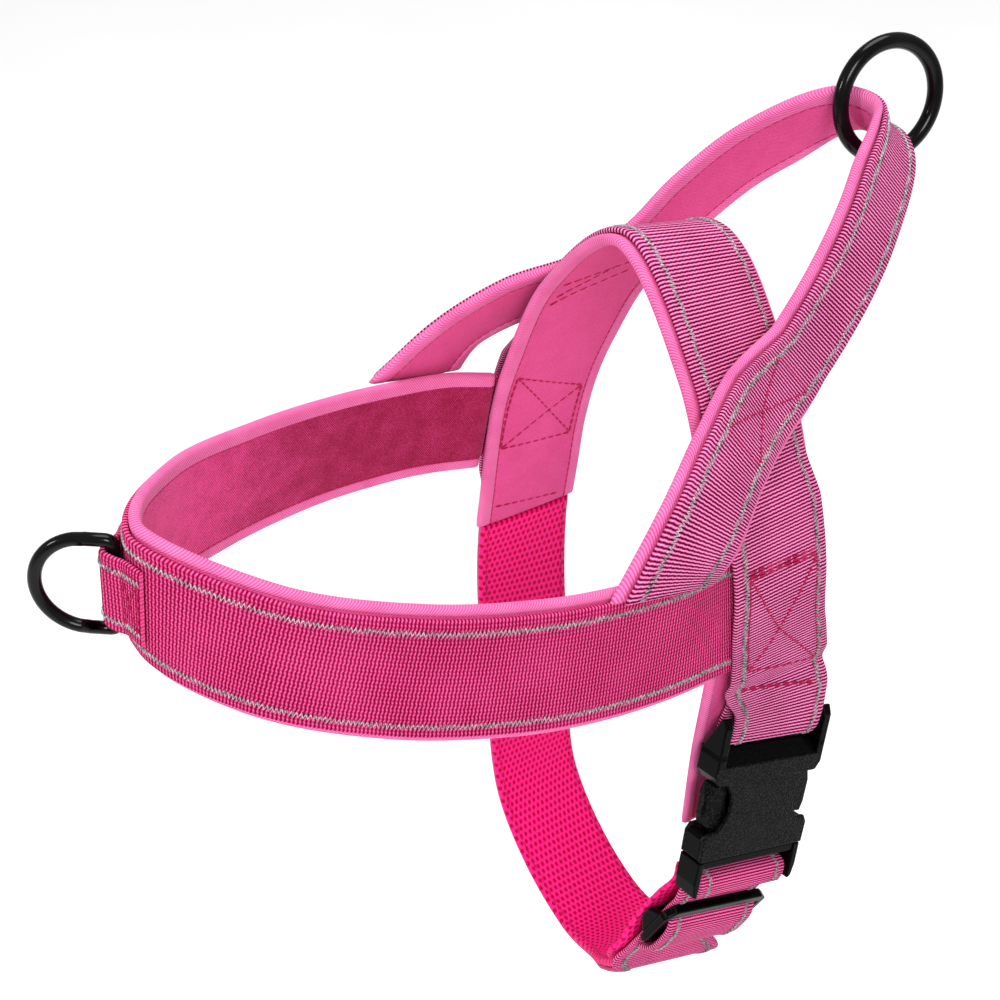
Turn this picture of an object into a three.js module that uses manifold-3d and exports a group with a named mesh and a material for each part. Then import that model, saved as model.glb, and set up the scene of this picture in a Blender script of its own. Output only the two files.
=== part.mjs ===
// A no-pull dog harness: a padded chest band and saddle, a carry handle with a lead ring,
// a front ring, and a belly strap that closes with a side-release buckle.
// Millimetres. +Z is up, -Y is the way the dog faces, +X is the dog's left, where the buckle is.
// The origin is the top of the saddle pad's inner face, on the dog's back.
import * as THREE from "three";
import { mergeVertices } from "three/addons/utils/BufferGeometryUtils.js";
import Module from "manifold-3d";

const wasm = await Module();
wasm.setup();

// ---- driving dimensions ----
const WIDE = 38; // webbing of the chest band, saddle and belly strap
const NARROW = 25; // webbing of the handle and the front ring's tab
const WEBBING = 1.7; // webbing thickness
const PAD = 2.8; // liner thickness, from the inner face outwards
const LAP = 0.3; // gap between layers that touch
const BINDING = 3; // width of the tape along each pad's edge
const PAD_MARGIN = 3; // how far the pads stand past the wide webbing
const HANDLE_MARGIN = 2.7; // and past the handle's webbing
const MESH_MARGIN = 1; // and the mesh sleeve past the belly webbing

const LEAD_RING = { inner: 15, wire: 2.5 };
const FRONT_RING = { inside: 25.6, depth: 19.5, wire: 1.9 };
const BUCKLE = {
  shoulder: 23.5, // half width over the webbing horns
  waist: 21.2, // half width over the windows
  mouth: 22.4, // half width at the mouth
  socket: 49.5, // length of the socket
  length: 62, // length closed
  thick: 10,
  wall: 1.5,
};
const SLIDER = { half: 22.5, length: 22, bar: 4, arm: 2.7, thick: 3 };

// ---- materials ----
const cloth = (color) => new THREE.MeshStandardMaterial({ color, roughness: 0.9 });
const MATERIAL = {
  webbing: cloth(0xe0357f),
  liner: cloth(0xe8609c),
  binding: cloth(0xf07fb4),
  mesh: cloth(0xf0206c),
  steel: new THREE.MeshStandardMaterial({ color: 0x141414, roughness: 0.25, metalness: 0.9 }),
  plastic: new THREE.MeshStandardMaterial({ color: 0x1a1a1a, roughness: 0.55 }),
};

const harness = new THREE.Group();

function add(name, geometry, material, parent = harness) {
  const mesh = new THREE.Mesh(geometry, material);
  mesh.name = name;
  parent.add(mesh);
  return mesh;
}

// ---- solids ----
function solid(geometry) {
  const plain = geometry.index ? geometry.toNonIndexed() : geometry.clone();
  plain.deleteAttribute("normal");
  plain.deleteAttribute("uv");
  const merged = mergeVertices(plain, 1e-4);
  return new wasm.Manifold(
    new wasm.Mesh({
      numProp: 3,
      vertProperties: merged.attributes.position.array,
      triVerts: new Uint32Array(merged.index.array),
    }),
  );
}

function geometryOf(manifold) {
  const mesh = manifold.getMesh();
  return new THREE.BufferGeometry()
    .setAttribute("position", new THREE.BufferAttribute(mesh.vertProperties, 3))
    .setIndex(new THREE.BufferAttribute(mesh.triVerts, 1));
}

const join = (...parts) => geometryOf(parts.map(solid).reduce((a, b) => a.add(b)));
const cut = (body, ...tools) =>
  geometryOf(tools.map(solid).reduce((a, b) => a.subtract(b), solid(body)));

// A box given by its low and high corners.
function box([x0, y0, z0], [x1, y1, z1]) {
  const g = new THREE.BoxGeometry(x1 - x0, y1 - y0, z1 - z0);
  return g.translate((x0 + x1) / 2, (y0 + y1) / 2, (z0 + z1) / 2);
}

// A flat outline in XY made solid between two heights.
function plate(outline, low, high, curveSegments = 6) {
  const shape = Array.isArray(outline)
    ? new THREE.Shape(outline.map(([x, y]) => new THREE.Vector2(x, y)))
    : outline;
  return new THREE.ExtrudeGeometry(shape, { depth: high - low, bevelEnabled: false, curveSegments })
    .translate(0, 0, low);
}

const mirrorX = (points) => [...points, ...points.map(([x, y]) => [-x, y]).reverse()];

// ---- straps ----
// A route is a list of stops: a point on the strap's inner face and the direction across it.
const stop = (at, across) => ({ at: new THREE.Vector3(...at), across: new THREE.Vector3(...across) });
const flip = ({ at, across }) => stop([-at.x, at.y, at.z], [-across.x, across.y, across.z]);
// The left half of a route, from its end to its middle stop, and its mirror image.
const bothSides = (half) => [...half, ...half.slice(0, -1).reverse().map(flip)];

// The strap's frame at place s, counted in stops: point, across and outward normal.
// across is as long as it must be for one unit of it to be one unit of true width.
function frameAt(stops, s) {
  const last = stops.length - 1;
  const curve = new THREE.CatmullRomCurve3(stops.map((p) => p.at), false, "centripetal");
  const t = s / last;
  const i = Math.min(Math.floor(s), last - 1);
  const along = curve.getTangent(t);
  const across = stops[i].across.clone().lerp(stops[i + 1].across, s - i).normalize();
  const out = across.clone().cross(along);
  across.divideScalar(out.length());
  return { point: curve.getPoint(t), across, out: out.normalize(), along };
}

// A strap between places `from` and `to` of a route, `left` to `right` across it and
// `low` to `high` out from its inner face. cup(s) lifts the edges, lift(s) the whole strap,
// and narrow(s) scales the width.
function strap(stops, { from = 0, to = stops.length - 1, left, right, low, high, ...more }) {
  const { steps = 4, cup = () => 0, lift = () => 0, narrow = () => 1, lanes = 1 } = more;
  const places = [from];
  for (let k = Math.floor(from * steps) + 1; k < to * steps - 1e-6; k++) places.push(k / steps);
  places.push(to);
  const reach = Math.max(Math.abs(left), Math.abs(right));
  const position = [];
  for (const s of places) {
    const { point, across, out } = frameAt(stops, s);
    const put = (v, h) => {
      const rise = h + lift(s) + cup(s) * (v / reach) ** 2;
      const p = point.clone().addScaledVector(across, v * narrow(s)).addScaledVector(out, rise);
      position.push(p.x, p.y, p.z);
    };
    for (let k = 0; k <= lanes; k++) put(left + ((right - left) * k) / lanes, low);
    for (let k = lanes; k >= 0; k--) put(left + ((right - left) * k) / lanes, high);
  }
  return ringsToSolid(position, 2 * (lanes + 1), places.length);
}

// Closed rings of equal point count, joined ring to ring and capped at both ends.
function ringsToSolid(position, around, count) {
  const index = [];
  const quad = (a, b, c, d) => index.push(a, b, c, a, c, d);
  for (let r = 0; r < count - 1; r++) {
    for (let k = 0; k < around; k++) {
      const next = (k + 1) % around;
      const a = r * around;
      // Both faces are split along the same diagonal, so layered straps stay clear of each other.
      if (k < around / 2) quad(a + k, a + next, a + around + next, a + around + k);
      else quad(a + next, a + around + next, a + around + k, a + k);
    }
  }
  const end = (count - 1) * around;
  for (let k = 0; k < around / 2 - 1; k++) {
    quad(k + 1, k, around - 1 - k, around - 2 - k);
    quad(end + k, end + k + 1, end + around - 2 - k, end + around - 1 - k);
  }
  const g = new THREE.BufferGeometry()
    .setAttribute("position", new THREE.Float32BufferAttribute(position, 3))
    .setIndex(index);
  return solid(g).volume() > 0 ? g : flipped(g);
}

function flipped(g) {
  const index = Array.from(g.index.array).reverse();
  return g.clone().setIndex(index);
}

// ---- routes ----
const BACK = [
  stop([61, -4, -106], [0, 1, -0.05]),
  stop([57, -3.3, -85], [-0.04, 1, -0.05]),
  stop([50, -2.5, -65], [-0.06, 1, -0.06]),
  stop([31.5, -1, -28], [-0.11, 0.99, -0.11]),
  stop([0, 0, 0], [0, 0.98, -0.21]),
];
const SADDLE = [
  stop([59, -4.2, -187], [0.08, 1, -0.05]),
  stop([60, -4.9, -149], [0.05, 1, -0.04]),
  stop([60.8, -4.6, -127], [0.02, 1, -0.04]),
  ...bothSides(BACK),
  stop([-63, -5, -127], [0, 1, -0.04]),
  stop([-64.5, -5.7, -141], [0, 1, -0.04]),
];

const BUCKLE_ACROSS = new THREE.Vector3(0.08, 0.93, -0.36).normalize();
const GIRTH = [
  stop([67.5, -3.2, -136], BUCKLE_ACROSS.toArray()),
  stop([64.5, -4, -123], [0.04, 0.98, -0.2]),
  ...bothSides(BACK),
  stop([-63, -5, -127], [0, 1, -0.04]),
  stop([-65, -6, -150], [0, 1, -0.04]),
  stop([-64, -7, -178], [0.04, 0.97, -0.18]),
  stop([-59.8, -7.6, -212], BUCKLE_ACROSS.toArray()),
  stop([-56.5, -8, -238], [-0.02, 0.99, -0.12]),
];
const GIRTH_NEAR = [ // between the buckle and the saddle
  stop([70.1, -0.9, -132.8], [0.06, 0.97, -0.2]),
  stop([66.6, -2.8, -121], [0.05, 1, -0.04]),
];
const GIRTH_MESH_START = 11.7;
const GIRTH_BEND = 14; // the place on GIRTH where the belly strap bends as it opens

const CHEST = bothSides([
  stop([59.3, -2, -96], [-0.19, 0.1, 0.97]),
  stop([60, -24, -91], [-0.2, 0.03, 0.98]),
  stop([63, -46, -86], [-0.15, 0.2, 0.96]),
  stop([62.4, -70, -81.5], [-0.13, 0.18, 0.98]),
  stop([59, -92, -77], [-0.1, 0.2, 0.97]),
  stop([48.5, -124.2, -69.4], [-0.02, 0.26, 0.96]),
  stop([30, -155.2, -59.7], [0.08, 0.27, 0.96]),
  stop([0, -174.3, -51.5], [0, 0.09, 1]),
]);
const CHEST_END = CHEST.length - 1;
const CHEST_PAD_START = 1.12;

const HANDLE = bothSides([
  stop([65.2, -51.2, -64.8], [0.05, 0.97, -0.22]),
  stop([61.6, -36.4, -52], [0.3, 0.75, -0.6]),
  stop([52.5, -19, -40.5], [0.36, 0.52, -0.78]),
  stop([43.8, -2.5, -34.5], [0.42, 0.42, -0.8]),
  stop([36.8, 19, -26.8], [0.14, 0.63, -0.77]),
  stop([32.5, 37.3, -10.6], [0.12, 0.7, -0.7]),
  stop([25, 54, 3.8], [0.12, 0.66, -0.74]),
  stop([11.2, 71.8, 15.8], [0.14, 0.65, -0.75]),
  stop([0, 75.7, 17.5], [0, 0.66, -0.75]),
]);
const HANDLE_TOP = (HANDLE.length - 1) / 2;

const BELLY = [
  stop([-64, -7, -178], [0.04, 0.97, -0.18]),
  stop([-59.8, -7.6, -212], BUCKLE_ACROSS.toArray()),
  stop([-56.5, -8, -238], [-0.02, 0.99, -0.12]),
  stop([-48.5, -8.2, -277], [-0.05, 1, -0.04]),
  stop([-28, -8.5, -299], [-0.03, 1, -0.06]),
  stop([0, -10.5, -306], [0, 1, -0.1]),
  stop([26.5, -15.5, -292], [0.12, 1, -0.1]),
  stop([46, -25, -270.5], [0.2, 0.95, -0.14]),
  stop([62.5, -32.5, -246.5], [0.14, 0.94, -0.26]),
];
const BELLY_START = 1.01;
const BELLY_MESH_END = 8.1;

// ---- pads and webbing ----
const PAD_TOP = PAD + LAP; // where webbing lies on a pad
const halfWide = WIDE / 2;
const padHalf = halfWide + PAD_MARGIN;

// A pad is a liner with a binding tape along each edge.
function pad(name, stops, half, bindings, extra = {}) {
  const inside = half - BINDING;
  add(name, strap(stops, { left: -inside, right: inside, low: 0, high: PAD, ...extra }), MATERIAL.liner);
  bindings.forEach((edge, i) => {
    const side = i ? [inside + LAP, half] : [-half, -inside - LAP];
    const bounds = { left: side[0], right: side[1], low: -0.2, high: PAD + 0.1 };
    const tape = strap(stops, { ...bounds, ...extra });
    add(`${name.replace("liner", "binding")}_${edge}`, tape, MATERIAL.binding);
  });
}

// A smooth plateau of height 1 between places a and b, with ramps of the given width.
function plateau(s, a, b, ramp) {
  const rise = THREE.MathUtils.smoothstep(s, a - ramp, a);
  const fall = 1 - THREE.MathUtils.smoothstep(s, b, b + ramp);
  return Math.min(rise, fall);
}

const CHEST_LIFT = WEBBING + LAP + 2.1; // the girth webbing runs over the chest band's sewn ends
const liftOverChest = (s) =>
  CHEST_LIFT * Math.max(plateau(s, 1.35, 3.9, 0.5), plateau(s, 8.1, 10.55, 0.5));

const webbing = { left: -halfWide, right: halfWide, low: PAD_TOP, high: PAD_TOP + WEBBING };

function addPads() {
  pad("saddle_liner", SADDLE, padHalf, ["front", "rear"]);
  const chestSpan = { from: CHEST_PAD_START, to: CHEST_END - CHEST_PAD_START };
  pad("chest_liner", CHEST, padHalf, ["lower", "upper"], chestSpan);
  const grip = { lanes: 6, cup: handleCup, narrow: handleNarrow, from: 0, to: 2 * HANDLE_TOP };
  pad("handle_liner", HANDLE, NARROW / 2 + HANDLE_MARGIN, ["upper", "lower"], grip);
  add("chest_webbing", strap(CHEST, webbing), MATERIAL.webbing);
  const band = { ...webbing, left: -NARROW / 2, right: NARROW / 2 };
  add("handle_webbing", strap(HANDLE, { ...band, ...grip }), MATERIAL.webbing);
}

// The handle curls up at its edges and narrows where the lead ring holds it.
const nearRing = (s) => plateau(s, HANDLE_TOP - 0.35, HANDLE_TOP + 0.35, 1.4);
function handleCup(s) {
  return 4.5 * nearRing(s);
}
function handleNarrow(s) {
  return 1 - 0.3 * nearRing(s);
}

// ---- buckle and slider frames: x across the strap, y up along it, z outwards ----
function frame(origin, across, down) {
  const x = new THREE.Vector3(...across);
  const y = new THREE.Vector3(...down).negate().normalize();
  x.addScaledVector(y, -x.dot(y)).normalize();
  const m = new THREE.Matrix4().makeBasis(x, y, x.clone().cross(y));
  return m.setPosition(...origin);
}
const BUCKLE_FRAME = frame([68.5, -2, -137], [0.08, 0.93, -0.36], [0.22, -0.33, -0.92]);
const SLIDER_FRAME = frame([75.5, -30, -212], [0.08, 0.93, -0.36], [-0.3, -0.3, -0.905]);

// A stop in one of those frames; across follows the frame's x.
function stopIn(m, y, z) {
  const across = new THREE.Vector3().setFromMatrixColumn(m, 0);
  return stop(new THREE.Vector3(0, y, z).applyMatrix4(m).toArray(), across.toArray());
}

function addIn(m, name, geometry, material) {
  return add(name, geometry.applyMatrix4(m), material);
}

const rod = (radius, half, y, z = 0) =>
  new THREE.CylinderGeometry(radius, radius, 2 * half, 16).rotateZ(Math.PI / 2).translate(0, y, z);

// ---- girth webbing: folded round the socket's bar, over the back, down the far side ----
const SOCKET_BAR = { y: -5.5, radius: 2.2 };
const PLUG_BAR = { y: -59.8, radius: 2 };

function girthRoute() {
  const r = SOCKET_BAR.radius + LAP;
  const leg = (y, z) => stopIn(BUCKLE_FRAME, y, z);
  const fold = [leg(9, 1), leg(3, -0.6), leg(SOCKET_BAR.y, -r)];
  const round = [leg(SOCKET_BAR.y - 0.75 * r, -0.75 * r), leg(SOCKET_BAR.y - r, 0)];
  const back = [leg(SOCKET_BAR.y - 0.75 * r, 0.75 * r), leg(SOCKET_BAR.y, r), ...GIRTH_NEAR];
  return [...fold, ...round, ...back, ...GIRTH.slice(2)];
}

function addGirth() {
  const route = girthRoute();
  const extra = route.length - GIRTH.length;
  const lift = (s) => {
    const onPad = THREE.MathUtils.smoothstep(s, 8, 9);
    return PAD_TOP * onPad + liftOverChest(s - extra);
  };
  const end = GIRTH_BEND + extra - 0.01;
  const face = { left: -halfWide, right: halfWide, low: 0, high: WEBBING, lift, to: end };
  add("saddle_webbing", strap(route, face), MATERIAL.webbing);
  const mesh = halfWide + MESH_MARGIN;
  const sleeve = { left: -mesh, right: mesh, low: 0, high: PAD };
  const anchor = strap(GIRTH, { ...sleeve, from: GIRTH_MESH_START, to: GIRTH_BEND - 0.01 });
  add("belly_mesh_anchor", anchor, MATERIAL.mesh);
  const padded = strap(bellyRoute(), { ...sleeve, from: BELLY_START, to: BELLY_MESH_END });
  add("belly_mesh_pad", padded, MATERIAL.mesh);
}

// ---- belly webbing: from the bend, under the belly, through the slider and round the plug ----
function bellyRoute() {
  const r = PLUG_BAR.radius + LAP + WEBBING;
  const leg = (y, z) => stopIn(BUCKLE_FRAME, y, z);
  const straight = [-24, -12, 0, 8, 13].map((y) => stopIn(SLIDER_FRAME, y, -WEBBING / 2));
  const inner = [leg(PLUG_BAR.y, -r), leg(PLUG_BAR.y + 0.72 * r, -0.72 * r), leg(PLUG_BAR.y + r, 0)];
  const outer = [leg(PLUG_BAR.y + 0.72 * r, 0.72 * r), leg(PLUG_BAR.y, r), leg(PLUG_BAR.y - 5, r - 1.2)];
  return [...BELLY, ...straight, ...inner, ...outer];
}

function addBelly() {
  const lift = (s) => PAD_TOP * (1 - THREE.MathUtils.smoothstep(s, 8.15, 9));
  const face = { left: -halfWide, right: halfWide, low: 0, high: WEBBING, lift, from: BELLY_START };
  add("belly_webbing", strap(bellyRoute(), face), MATERIAL.webbing);
}

// ---- buckle ----
function addBuckle() {
  const { shoulder, waist, mouth, socket, length, thick, wall } = BUCKLE;
  const h = thick / 2;
  const outline = mirrorX([[shoulder - 1, -12], [waist, -20], [waist, -42], [mouth, -socket]]);
  const shell = plate(outline, -h, h);
  const cavity = box([-30, -60, wall - h], [30, -21, h - wall]);
  const horn = (side) => plate([[20, 0], [22, 0], [shoulder, -3], [shoulder - 1, -13], [20, -13]]
    .map(([x, y]) => [side * x, y]), -3.5, 4);
  const slotBar = rod(SOCKET_BAR.radius, 21, SOCKET_BAR.y);
  const whole = join(cut(shell, cavity), horn(1), horn(-1), slotBar);
  addIn(BUCKLE_FRAME, "buckle_socket", whole, MATERIAL.plastic);

  const base = plate(mirrorX([[mouth, -socket - LAP], [mouth, -58], [21, -length]]), -h, h);
  const slot = box([-20, -70, -10], [20, -53, 10]);
  const guide = box([-4, -52, -2], [4, -27, 2]);
  const bar = rod(PLUG_BAR.radius, 20.5, PLUG_BAR.y);
  addIn(BUCKLE_FRAME, "buckle_plug", join(cut(base, slot), guide, bar), MATERIAL.plastic);

  const arm = [[10, -49.4], [13.5, -49.4], [16, -41], [20.6, -38], [20.6, -27], [17, -22.5],
    [14.5, -22.5], [14, -30], [12, -40]];
  const left = arm.map(([x, y]) => [-x, y]);
  addIn(BUCKLE_FRAME, "latch_arm_rear", plate(arm, -2, 2), MATERIAL.plastic);
  addIn(BUCKLE_FRAME, "latch_arm_front", plate(left, -2, 2), MATERIAL.plastic);
}

function addSlider() {
  const { half, length, bar, arm, thick } = SLIDER;
  const y = length / 2;
  const low = WEBBING / 2 + LAP;
  const corner = 3;
  const outer = plate(mirrorX([[half - corner, y], [half, y - corner], [half, corner - y],
    [half - corner, -y]]), low, low + thick);
  const inside = half - arm;
  const opening = box([-inside, bar - y, -20], [inside, y - bar, 20]);
  const keeper = box([-half + 0.4, -2.2, -low - 2.2], [half - 0.4, 2.2, -low]);
  const posts = [-1, 1].map((s) => {
    const [a, b] = [s * (half - 0.4), s * inside].sort((p, q) => p - q);
    return box([a, -2.2, -low - 1], [b, 2.2, low + 1]);
  });
  addIn(SLIDER_FRAME, "slider", join(cut(outer, opening), keeper, ...posts), MATERIAL.plastic);
}

// ---- rings ----
function addLeadRing() {
  const { point, out } = frameAt(HANDLE, HANDLE_TOP);
  const centre = point.addScaledVector(out, 10.9);
  const radius = LEAD_RING.inner + LEAD_RING.wire;
  const ring = new THREE.TorusGeometry(radius, LEAD_RING.wire, 12, 48).rotateY(Math.PI / 2);
  const turn = new THREE.Matrix4().makeRotationAxis(out, THREE.MathUtils.degToRad(-16));
  const m = turn.setPosition(centre);
  add("lead_ring", ring.applyMatrix4(m), MATERIAL.steel);
}

const FRONT_PLACE = CHEST_END / 2 + 0.12; // where the front ring's tab is sewn on, in stops along CHEST
const FRONT_OUT = PAD_TOP + WEBBING + LAP; // from the chest band's inner face to the tab
function addFrontRing() {
  const { wire, inside, depth } = FRONT_RING;
  const on = (s, rise) => {
    const { point, across, out } = frameAt(CHEST, s);
    return stop(point.addScaledVector(out, FRONT_OUT + rise).toArray(), across.toArray());
  };
  const gap = wire + LAP;
  const sides = [[0.3, 0], [0.22, 0], [0.14, 0.4], [0.075, 2.4]];
  const route = [
    ...sides.map(([d, rise]) => on(FRONT_PLACE - d, rise)),
    on(FRONT_PLACE, 2 * gap),
    ...sides.map(([d, rise]) => on(FRONT_PLACE + d, rise)).reverse(),
  ];
  const half = NARROW / 2;
  add("front_ring_tab", strap(route, { left: -half, right: half, low: 0, high: WEBBING }), MATERIAL.webbing);

  const { point, out, across } = frameAt(CHEST, FRONT_PLACE);
  const tall = inside / 2 + wire;
  const rail = new THREE.CylinderGeometry(wire, wire, 2 * tall, 14).rotateX(Math.PI / 2);
  const bow = new THREE.CatmullRomCurve3(
    [[0, -1], [0.42, -1], [0.8, -0.72], [1, 0], [0.8, 0.72], [0.42, 1], [0, 1]]
      .map(([x, z]) => new THREE.Vector3(x * (depth + wire), 0, z * tall)));
  const round = new THREE.Shape().absarc(0, 0, wire, 0, 2 * Math.PI);
  const bend = new THREE.ExtrudeGeometry(round, { extrudePath: bow, steps: 20, curveSegments: 14 });
  const corners = [-1, 1].map((s) => new THREE.SphereGeometry(wire, 14, 10).translate(0, 0, s * tall));
  const ring = join(rail, bend, ...corners);
  const swing = THREE.MathUtils.degToRad(33);
  const x = new THREE.Vector3(0, -1, 0).applyAxisAngle(new THREE.Vector3(0, 0, 1), -swing);
  const z = across.normalize();
  x.addScaledVector(z, -x.dot(z)).normalize();
  const m = new THREE.Matrix4().makeBasis(x, z.clone().cross(x), z);
  m.setPosition(point.addScaledVector(out, FRONT_OUT + gap));
  add("front_ring", ring.applyMatrix4(m), MATERIAL.steel);
}

addPads();
addGirth();
addBelly();
addBuckle();
addSlider();
addLeadRing();
addFrontRing();

export default harness;
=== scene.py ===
"""Looks of the no-pull dog harness: woven webbing, bound liners, air mesh and black hardware.

Routes are in millimetres and follow the straps of the CAD model. Meshes are written in metres.
"""

import math

import bmesh
import bpy
import numpy as np
from mathutils import Matrix, Vector


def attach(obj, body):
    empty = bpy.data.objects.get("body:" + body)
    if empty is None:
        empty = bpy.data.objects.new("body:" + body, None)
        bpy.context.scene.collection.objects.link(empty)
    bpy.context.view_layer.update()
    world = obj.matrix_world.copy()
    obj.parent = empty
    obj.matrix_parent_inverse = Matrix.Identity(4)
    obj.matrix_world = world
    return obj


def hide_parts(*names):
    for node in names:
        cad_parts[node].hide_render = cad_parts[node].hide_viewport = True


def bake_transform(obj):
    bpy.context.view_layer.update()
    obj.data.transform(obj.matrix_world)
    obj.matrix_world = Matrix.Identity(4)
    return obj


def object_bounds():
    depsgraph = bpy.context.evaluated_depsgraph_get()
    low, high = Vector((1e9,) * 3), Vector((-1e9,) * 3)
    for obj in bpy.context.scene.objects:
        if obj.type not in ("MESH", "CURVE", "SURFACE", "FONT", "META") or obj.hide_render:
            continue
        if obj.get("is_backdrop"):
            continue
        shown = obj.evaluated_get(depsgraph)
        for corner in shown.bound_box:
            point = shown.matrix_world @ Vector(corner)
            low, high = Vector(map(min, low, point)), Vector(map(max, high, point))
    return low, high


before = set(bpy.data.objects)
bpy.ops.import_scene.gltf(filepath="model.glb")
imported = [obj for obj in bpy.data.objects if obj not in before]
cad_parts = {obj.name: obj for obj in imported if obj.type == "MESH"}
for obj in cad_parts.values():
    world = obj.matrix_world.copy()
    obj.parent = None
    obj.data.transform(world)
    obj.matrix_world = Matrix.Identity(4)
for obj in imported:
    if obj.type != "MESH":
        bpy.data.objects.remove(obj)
cad_low, cad_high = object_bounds()

MM = 0.001

# ---- driving dimensions, in millimetres ----
WIDE, NARROW = 38.0, 25.0  # widths of the main webbing, and of the handle's and the ring tab's
WEB = 1.7  # webbing thickness
PAD, LAP = 2.8, 0.3  # liner thickness, and the gap between layers
PAD_TOP = PAD + LAP  # where webbing lies on a pad
PAD_HALF = WIDE / 2 + 3.0  # half widths of the wide pads, the handle's pad and the mesh sleeve
GRIP_HALF = NARROW / 2 + 2.7
MESH_HALF = WIDE / 2 + 1.0
END_PINCH = 0.35  # how much thinner a strap's cut ends are, as a share

RIB = 1.05  # pitch of the webbing's cross ribs
HOLE_U, HOLE_L = 2.3, 2.9  # pitch of the mesh's holes across and along it
HOLE_EDGE = (0.2, 0.46)  # from a hole's middle, in pitches: where its wall starts and ends
PAINTED_SHADE_SPAN = (215.0, 335.0)  # along the chest's liner, in mm: painted shade makes it grow darker here

ZIGZAG_STEP, ZIGZAG_HALF = 0.6, 0.8  # the reflective thread's zigzag
THREAD_INSET = 3.9  # from a webbing's edge to its reflective thread
THREAD_RISE = 0.12  # from the webbing's face to that thread's middle
THREAD_RADIUS = 0.36
THREAD_SIDES, THREAD_TIP = 5, 0.45  # any thread's facets, and its radius at the tips, as a share
THREAD_SHORT = 0.02  # how far short of a strap's cut ends its threads stop, in stops
SEAM_INSET = 5.05  # from a pad's edge to the seam that sews its binding on
STITCH = 2.6  # length of one running stitch
STITCH_RISE = 0.15  # from the cloth's face to a stitch's middle

# Material slots of the sewn pieces, where webbing has all four, and of the moulded ones.
CLOTH, THREADS, PINK_THREADS, LINING = range(4)
GRAIN, GLOSS = range(2)


# ---- small maths ----
def unit(v):
    v = np.asarray(v, float)
    return v / np.linalg.norm(v)


def smoothstep(x, a, b):
    t = min(max((x - a) / (b - a), 0.0), 1.0)
    return t * t * (3 - 2 * t)


def plateau(s, a, b, ramp):
    """1 between a and b, with smooth ramps of that width outside them."""
    return min(smoothstep(s, a - ramp, a), 1 - smoothstep(s, b, b + ramp))


def flip(stop):
    (x, y, z), (a, b, c) = stop
    return ((-x, y, z), (-a, b, c))


def both_sides(half):
    """A route's left half, up to its middle stop, and its mirror image."""
    return half + [flip(s) for s in reversed(half[:-1])]


def zero(s):
    return 0.0


def one(s):
    return 1.0


class Route:
    """A strap's line through stops: points on its inner face, and directions across it."""

    SAMPLES = 24

    def __init__(self, stops, lift=zero, cup=zero, narrow=one, reach=19.0):
        self.at = np.array([p for p, _ in stops], float)
        self.across = np.array([unit(a) for _, a in stops])
        self.last = len(stops) - 1
        self.lift, self.cup, self.narrow, self.reach = lift, cup, narrow, reach
        self.s_table = np.linspace(0, self.last, self.last * self.SAMPLES + 1)
        points = np.array([self.curve(s)[0] for s in self.s_table])
        steps = np.linalg.norm(np.diff(points, axis=0), axis=1)
        self.l_table = np.concatenate([[0], np.cumsum(steps)])

    def curve(self, s):
        """Point and tangent of the centripetal Catmull-Rom curve at place s, counted in stops."""
        i = min(int(math.floor(s)), self.last - 1)
        w = s - i
        p1, p2 = self.at[i], self.at[i + 1]
        p0 = self.at[i - 1] if i > 0 else 2 * p1 - p2
        p3 = self.at[i + 2] if i + 2 <= self.last else 2 * p2 - p1
        d0, d1, d2 = (math.sqrt(np.linalg.norm(b - a)) for a, b in ((p0, p1), (p1, p2), (p2, p3)))
        t1 = ((p1 - p0) / d0 - (p2 - p0) / (d0 + d1) + (p2 - p1) / d1) * d1
        t2 = ((p2 - p1) / d1 - (p3 - p1) / (d1 + d2) + (p3 - p2) / d2) * d1
        c2 = 3 * (p2 - p1) - 2 * t1 - t2
        c3 = 2 * (p1 - p2) + t1 + t2
        return p1 + w * (t1 + w * (c2 + w * c3)), t1 + w * (2 * c2 + 3 * w * c3)

    def frame(self, s):
        """Point, direction across (scaled for true width) and outward normal at place s."""
        point, along = self.curve(s)
        i = min(int(math.floor(s)), self.last - 1)
        across = unit(self.across[i] + (self.across[i + 1] - self.across[i]) * (s - i))
        out = np.cross(across, unit(along))
        size = np.linalg.norm(out)
        return point, across / size, out / size

    def put(self, s, v, h, at=None):
        """The point v across and h out from the inner face, at place s."""
        point, across, out = at or self.frame(s)
        rise = h + self.lift(s) + self.cup(s) * (v / self.reach) ** 2
        return point + across * v * self.narrow(s) + out * rise

    def length(self, s):
        return float(np.interp(s, self.s_table, self.l_table))

    def place(self, length):
        return float(np.interp(length, self.l_table, self.s_table))

    def places(self, a, b, step):
        """Places from a to b, about step millimetres apart."""
        la, lb = self.length(a), self.length(b)
        count = max(2, int(round(abs(lb - la) / step)) + 1)
        return [self.place(x) for x in np.linspace(la, lb, count)]


# ---- mesh building ----
def turns(count):
    """That many angles, evenly round a circle."""
    return [2 * math.pi * k / count for k in range(count)]


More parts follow.
